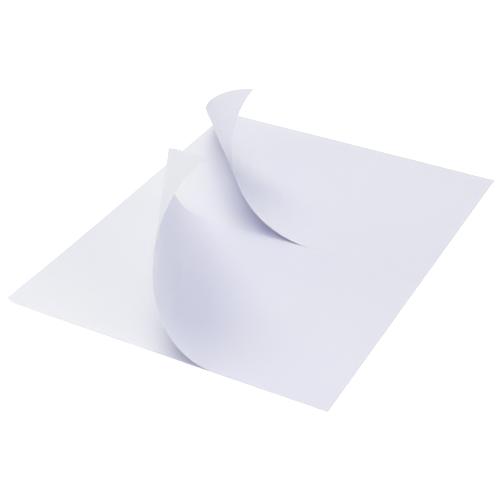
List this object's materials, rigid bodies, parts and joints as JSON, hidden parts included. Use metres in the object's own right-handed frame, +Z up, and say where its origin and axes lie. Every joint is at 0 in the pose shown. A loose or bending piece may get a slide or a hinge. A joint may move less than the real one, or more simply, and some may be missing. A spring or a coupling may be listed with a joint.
{
  "type": "label sheet",
  "caption": "Letter-size sheet of blank self-adhesive paper labels, each half a sheet, peeled up from one corner of the flat backing paper and curling over.",
  "frame": {"origin": "middle of the sheet, on the underside of the flat backing", "axes": "+Z up, +Y along the long side towards the far label, +X along the short side towards the edge where the labels are stuck down"},
  "size_m": [0.216, 0.2795, 0.098],
  "materials": {
    "backing_paper": "smooth release-coated paper with a faint satin gloss",
    "label_paper": "matt uncoated white paper with a slightly blue cast, and a satin adhesive underside"
  },
  "bodies": {
    "root": {"backing": "backing_paper", "near_label": "label_paper", "far_label": "label_paper"}
  },
  "joints": []
}
